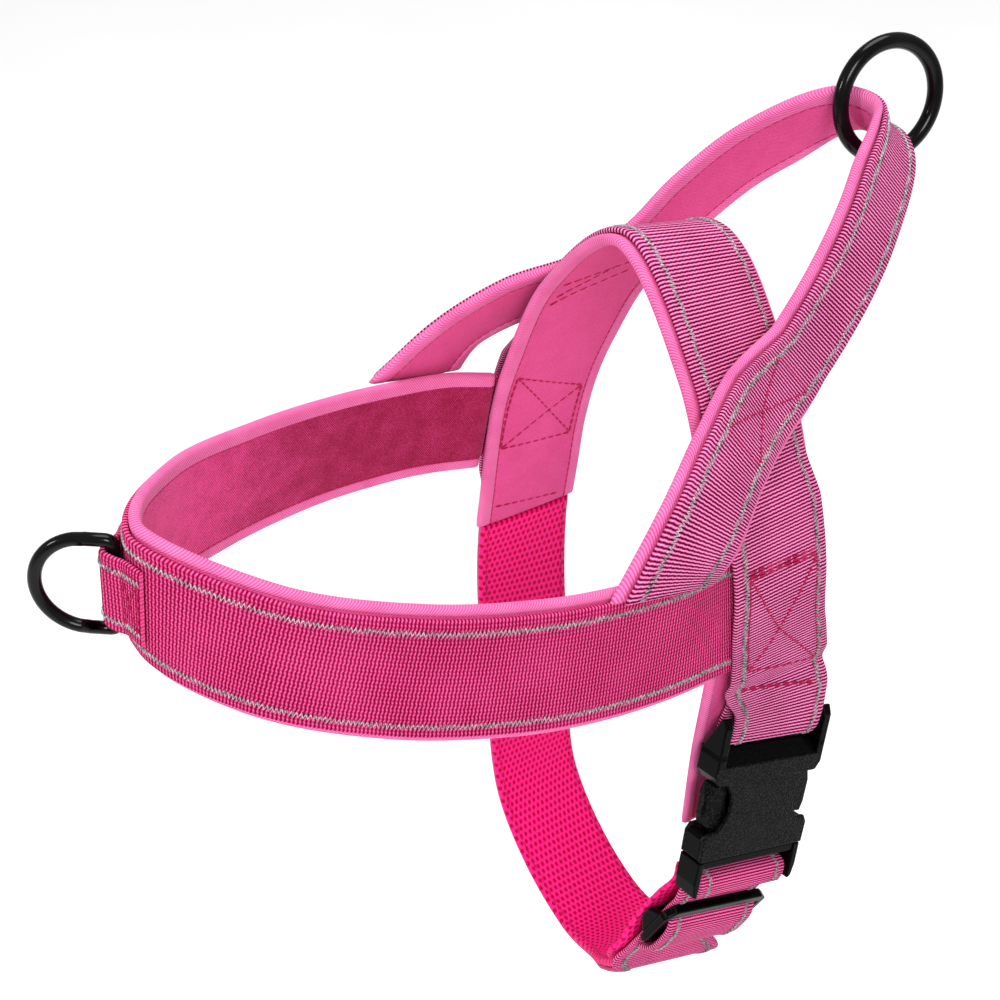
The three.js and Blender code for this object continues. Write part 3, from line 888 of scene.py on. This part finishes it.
# ---- rings ----
WIRE_SIDES = 20
LEAD_RING_RADIUS, LEAD_RING_WIRE = 17.5, 2.5  # of the wire's middle line, and of the wire
LEAD_RING_RISE = 10.9  # from the handle's inner face to the ring's middle
LEAD_RING_TURN = -16  # degrees about the handle's outward direction
FRONT_PLACE = (len(CHEST) - 1) / 2 + 0.12  # where the tab is sewn on, in stops along the chest band
FRONT_RING_TURN = -33  # degrees from straight ahead, towards the dog's right
RING_WIRE, RING_INSIDE, RING_DEPTH = 1.9, 25.6, 19.5  # the front ring's wire radius and its eye
TAB_LOW = PAD_TOP + WEB + LAP  # from the chest band's inner face to the tab


def steel_ring(name, rows, body):
    """A ring made of closed sections of wire."""
    b = Builder()
    uvs = [[(k, i) for k in range(WIRE_SIDES)] for i in range(len(rows) + 1)]
    b.grid(rows + [rows[0]], uvs, caps=False)
    obj = b.make(name, [STEEL])
    weld(obj)
    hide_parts(name)
    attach(obj, body)


def lead_ring():
    """The round ring that the handle runs through."""
    point, _, out = grip.frame(GRIP_TOP)
    centre = point + out * LEAD_RING_RISE
    turn = Matrix.Rotation(math.radians(LEAD_RING_TURN), 3, Vector(out))
    n = unit(np.array(turn @ Vector((1, 0, 0))))
    u = unit(out)
    u = unit(u - u.dot(n) * n)
    w = np.cross(n, u)
    r, wire = LEAD_RING_RADIUS, LEAD_RING_WIRE
    rows = []
    for a in turns(96):
        radial = u * math.cos(a) + w * math.sin(a)
        section = [radial * (r + wire * math.cos(t)) + n * wire * math.sin(t) for t in turns(WIRE_SIDES)]
        rows.append([centre + p for p in section])
    steel_ring("lead_ring", rows, "lead_ring_body")


lead_ring()


def tab_route():
    """Sewn down at both ends, and lifted over the ring's upright bar between them."""
    sides = [(0.3, 0), (0.22, 0), (0.14, 0.4), (0.075, 2.4)]
    rises = [(FRONT_PLACE - d, r) for d, r in sides] + [(FRONT_PLACE, 2 * (RING_WIRE + LAP))]
    rises += [(FRONT_PLACE + d, r) for d, r in reversed(sides)]
    stops = []
    for s, rise in rises:
        point, across, out = chest.frame(s)
        stops.append((tuple(point + out * (TAB_LOW + rise)), tuple(across)))
    return Route(stops)


def front_ring_tab():
    """The short webbing that holds the front ring, with a stitched box at each end."""
    tab = tab_route()
    b = webbing(tab, 0, tab.last, NARROW / 2, 0)
    for a, e in ((0.25, 2.3), (tab.last - 2.3, tab.last - 0.25)):
        square_box(b, tab, a, e, 9.6, WEB + STITCH_RISE)
    finish_webbing(b, "front_ring_tab", weave=CHEST_WEBBING)


front_ring_tab()


def d_ring():
    """A straight bar inside the tab, and a bow of the same wire."""
    point, across, out = chest.frame(FRONT_PLACE)
    centre = point + out * (TAB_LOW + RING_WIRE + LAP)
    up = unit(across)
    away = np.array(Matrix.Rotation(math.radians(FRONT_RING_TURN), 3, "Z") @ Vector((0, -1, 0)))
    away = unit(away - away.dot(up) * up)
    tall = RING_INSIDE / 2 + RING_WIRE
    deep = RING_DEPTH + RING_WIRE
    corner = tall * 0.14
    straight = 0.36  # how much of the bow's depth comes before it starts to curve
    path = [(0, t) for t in np.linspace(-tall * 0.86, tall * 0.86, 9)]
    turn = np.linspace(0.4, 1.5, 4)
    path += [(corner * (1 - math.cos(t)), tall - corner * (1 - math.sin(t))) for t in turn]
    for t in np.linspace(math.pi / 2, -math.pi / 2, 33):
        x = deep * (straight + (1 - straight) * math.cos(t)) if abs(t) < 1.4 else deep * straight
        path.append((x, tall * math.sin(t)))
    path += [(x, -z) for x, z in path[12:8:-1]]
    points = [centre + away * x + up * z for x, z in path]
    side = np.cross(away, up)
    rows = []
    for i, p in enumerate(points):
        along = unit(points[(i + 1) % len(points)] - points[i - 1])
        inward = np.cross(along, side)
        wire = turns(WIRE_SIDES)
        rows.append([p + RING_WIRE * (inward * math.cos(t) + side * math.sin(t)) for t in wire])
    steel_ring("front_ring", rows, "front_ring_body")


d_ring()


# ---- moulded parts, each drawn in its own frame: x across, y up the strap, z outwards ----
def arc(cx, cy, r, a0, a1, count=10):
    """Points on a circle, angles in degrees."""
    angles = np.radians(np.linspace(a0, a1, count))
    return [(cx + r * math.cos(t), cy + r * math.sin(t)) for t in angles]


def rod(y, radius):
    """A round bar's (y, z) outline."""
    angles = np.linspace(0, 2 * math.pi, 17)[:-1]
    return [(y + radius * math.cos(t), radius * math.sin(t)) for t in angles]


def slab(b, outline, low, high, slot=0):
    """A flat outline made solid between two heights."""
    rows = [[np.array([x, y, z]) for x, y in outline] for z in (low, high)]
    uvs = [[(x, y) for x, y in outline]] * 2
    b.grid(rows, uvs, slot, smooth=False)


def bar_along_x(b, outline, left, right, slot=0, smooth=False):
    """A (y, z) outline made solid across the strap."""
    rows = [[np.array([x, y, z]) for y, z in outline] for x in (left, right)]
    uvs = [[(y, z) for y, z in outline]] * 2
    b.grid(rows, uvs, slot, smooth=smooth)


def mirrored(points):
    """A right half's outline, and its mirror image on the left."""
    return points + [(-x, y) for x, y in reversed(points)]


def on_side(side, points):
    """The same outline on the right, or mirrored to the left."""
    return [(side * x, y) for x, y in points]


def soften(obj, width):
    """Rounds the moulding's edges."""
    m = obj.modifiers.new("edges", "BEVEL")
    m.width = width * MM
    m.segments = 3
    m.limit_method = "ANGLE"
    m.angle_limit = math.radians(35)


def moulding(b, name, matrix, body, width, materials):
    """Makes the piece in place of the node of that name, its edges rounded by that width."""
    obj = b.make(name, materials, in_metres(matrix))
    soften(obj, width)
    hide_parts(name)
    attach(obj, body)


BAR_HALF = 20.4  # half length of the bars that carry webbing


def face_plate():
    """The socket's face: straight mouth, round finger scoops at its sides, narrow shoulders."""
    right = [(23.3, -16.0), (23.3, -19.4), (21.4, -22.4)]
    right += arc(25.0, -30.8, 10.9, 130, 230, 14)
    right += [(21.4, -39.3), (22.9, -41.8), (22.7, -49.5)]
    return mirrored(right)


def socket():
    """Two grained face plates on a smooth core, with a bar for the girth webbing between two horns."""
    b = Builder()
    slab(b, face_plate(), 3.4, 5.0, GRAIN)
    slab(b, face_plate(), -5.0, -3.4, GRAIN)
    core = [(-11.0, -4.8), (-11.0, 0.6), (-16.2, 4.2), (-21.0, 4.2), (-21.0, -4.8)]
    bar_along_x(b, core, -20.6, 20.6, GLOSS)
    for side in (-1, 1):
        wall = [(19.9, -40.2), (21.9, -40.2), (22.7, -42.0), (22.5, -49.4), (19.9, -49.4)]
        slab(b, on_side(side, wall), -4.7, 3.6, GLOSS)
        cheek = [(20.2, -11.0), (23.4, -11.0), (23.4, -19.3), (21.4, -22.3), (20.2, -22.3)]
        slab(b, on_side(side, cheek), -4.8, 4.9, GLOSS)
        horn = [(0.7, 3.4), (0.2, 2.0), (-12.5, -4.7), (-14.0, -4.7), (-14.0, 4.9), (-2.5, 4.9)]
        bar_along_x(b, horn, *sorted((side * 20.2, side * 23.4)), GLOSS)
    bar_along_x(b, rod(SOCKET_BAR_Y, SOCKET_BAR_R), -BAR_HALF, BAR_HALF, GLOSS, smooth=True)
    moulding(b, "buckle_socket", BUCKLE, "harness", 0.55, [GRAINED, GLOSSY])


def plug():
    """Two cheeks, a rail and a bar for the belly webbing, and a guide blade between the arms."""
    b = Builder()
    for side in (-1, 1):
        cheek = [(20.0, -49.9), (22.6, -49.9), (22.7, -58.0), (21.8, -62.6), (20.3, -63.4)]
        slab(b, on_side(side, cheek), -4.8, 4.6)
    slab(b, mirrored([(20.4, -49.9), (20.4, -52.8)]), -4.4, 4.0)
    bar_along_x(b, rod(PLUG_BAR_Y, PLUG_BAR_R), -BAR_HALF, BAR_HALF, smooth=True)
    slab(b, mirrored([(2.2, -27.0), (4.0, -29.0), (4.0, -50.5)]), -2.0, 2.0)
    moulding(b, "buckle_plug", BUCKLE, "belly_strap", 0.5, [GLOSSY])


def latch_arm(side, name, body):
    """A springy arm that swells at the window, with a grip rib down its side."""
    b = Builder()
    arm = [(10.2, -49.4), (13.4, -49.4), (15.4, -43.4)]
    arm += [(18.0, -40.2), (19.8, -37.0), (20.7, -33.0), (20.6, -28.5), (19.2, -25.0)]
    arm += [(17.0, -22.8), (14.6, -22.5), (13.9, -30.0), (12.1, -40.0)]
    slab(b, on_side(side, arm), -2.0, 2.0)
    pad = [(15.6, -38.0), (20.6, -38.4), (21.5, -35.0), (21.6, -27.0), (20.6, -23.6), (16.2, -23.4)]
    slab(b, on_side(side, pad), -3.0, 3.0)
    rib = [(21.2, -36.4), (22.3, -35.0), (22.4, -27.0), (21.2, -25.4)]
    slab(b, on_side(side, rib), -0.5, 0.5)
    moulding(b, name, BUCKLE, body, 0.4, [GRAINED])


def tri_glide():
    """A frame with cut corners, and a middle bar under the strap that it holds by the strap."""
    b = Builder()
    half_w, half_l, low, high = 22.5, 11.0, 1.15, 4.15
    top = [(half_w - 3.6, half_l), (half_w - 0.4, half_l - 2.6), (half_w - 0.4, half_l - 4.2)]
    top = mirrored(top)
    slab(b, top, low, high + 0.2)
    slab(b, [(x, -y) for x, y in top], low, high - 0.6)
    for side in (-1, 1):
        inner, end = half_w - 2.7, half_l - 3.8
        post = [(inner, end), (half_w, end), (half_w, -end), (inner, -end)]
        slab(b, on_side(side, post), low + 0.1, high)
        wall = [(-6.5, low + 0.4), (6.5, low + 0.4), (2.4, -3.2), (-2.4, -3.2)]
        bar_along_x(b, wall, *sorted((side * (half_w - 2.6), side * (half_w - 0.3))))
    slab(b, mirrored([(half_w - 0.8, 2.2), (half_w - 0.8, -2.2)]), -3.2, -1.15)
    moulding(b, "slider", SLIDER, "slider_body", 0.6, [GLOSSY])


def slider_fold():
    """The strap's end: out from under the slider's top bar, over its lower bar and back down."""
    path = [(9.0, 1.2), (6.6, 1.6), (4.0, 3.6), (0.5, 4.9)]
    path += [(-4.5, 5.2), (-9.5, 4.9), (-12.5, 3.4), (-14.8, 1.15)]
    route = Route([stop_in(SLIDER, *p) for p in reversed(path)])
    b = webbing(route, 0, route.last, WIDE / 2, 0)
    obj = b.make("slider_fold_webbing", [BELLY_WEBBING, THREAD])
    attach(obj, "slider_body")


socket()
plug()
latch_arm(1, "latch_arm_rear", "latch_rear")
latch_arm(-1, "latch_arm_front", "latch_front")
tri_glide()
slider_fold()


# ---- floor, light and camera, in metres ----
FLOOR_HALF, FLOOR_DROP = 6.0, 0.12  # the harness hangs that far above the floor
MIDDLE = (0, -0.05, -0.12)  # what the lamps point at
CAMERA_PLACE = (0.30199, -0.26357, 0.21236)
CAMERA_RIGHT = (0.5564, 0.8309, 0.0)
CAMERA_BACK = (0.6558, -0.4391, 0.6140)
CAMERA_LENS, CAMERA_SENSOR = 53.98, 36  # in millimetres
WORLD_LIGHT = 0.42


def floor():
    """A pale floor under the harness."""
    z = cad_low[2] - FLOOR_DROP
    size = FLOOR_HALF
    data = bpy.data.meshes.new("floor")
    corners = [(-size, -size, z), (size, -size, z), (size, size, z), (-size, size, z)]
    data.from_pydata(corners, [], [(0, 1, 2, 3)])
    obj = bpy.data.objects.new("floor", data)
    bpy.context.scene.collection.objects.link(obj)
    m = Shader("pale_floor", 0.9, specular=0.1)
    m.color(m.ramp(m.noise(3.0), [(0.3, (0.93, 0.93, 0.93)), (0.7, (0.96, 0.96, 0.96))]))
    data.materials.append(m.material)
    obj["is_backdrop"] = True


def area_light(name, place, size, watts):
    """A round lamp that points at the harness's middle."""
    lamp = bpy.data.lights.new(name, "AREA")
    lamp.shape = "DISK"
    lamp.size = size
    lamp.energy = watts
    obj = bpy.data.objects.new(name, lamp)
    obj.location = place
    obj.rotation_euler = (Vector(MIDDLE) - Vector(place)).to_track_quat("-Z", "Y").to_euler()
    bpy.context.scene.collection.objects.link(obj)


def lights():
    """A white studio: a pale world, a key lamp at the buckle's side, a front fill and a large top lamp."""
    world = bpy.data.worlds.new("studio")
    world.use_nodes = True
    back = world.node_tree.nodes["Background"]
    back.inputs[0].default_value = (1, 1, 1, 1)
    back.inputs[1].default_value = WORLD_LIGHT
    bpy.context.scene.world = world
    bpy.context.scene.view_settings.view_transform = "Standard"
    area_light("key", (1.1, -0.55, 0.9), 0.6, 15)
    area_light("fill", (-0.3, -1.3, 0.6), 0.3, 6.5)
    area_light("top", (-0.5, 0.6, 3.0), 2.2, 75)


def camera():
    """The photograph's view: from the front left and above."""
    right, back = Vector(CAMERA_RIGHT), Vector(CAMERA_BACK)
    data = bpy.data.cameras.new("camera")
    data.sensor_width = CAMERA_SENSOR
    data.lens = CAMERA_LENS
    data.clip_start = 0.01
    obj = bpy.data.objects.new("camera", data)
    turn = Matrix((right, back.cross(right), back)).transposed().to_4x4()
    turn.translation = Vector(CAMERA_PLACE)
    obj.matrix_world = turn
    bpy.context.scene.collection.objects.link(obj)
    bpy.context.scene.camera = obj


floor()
lights()
camera()
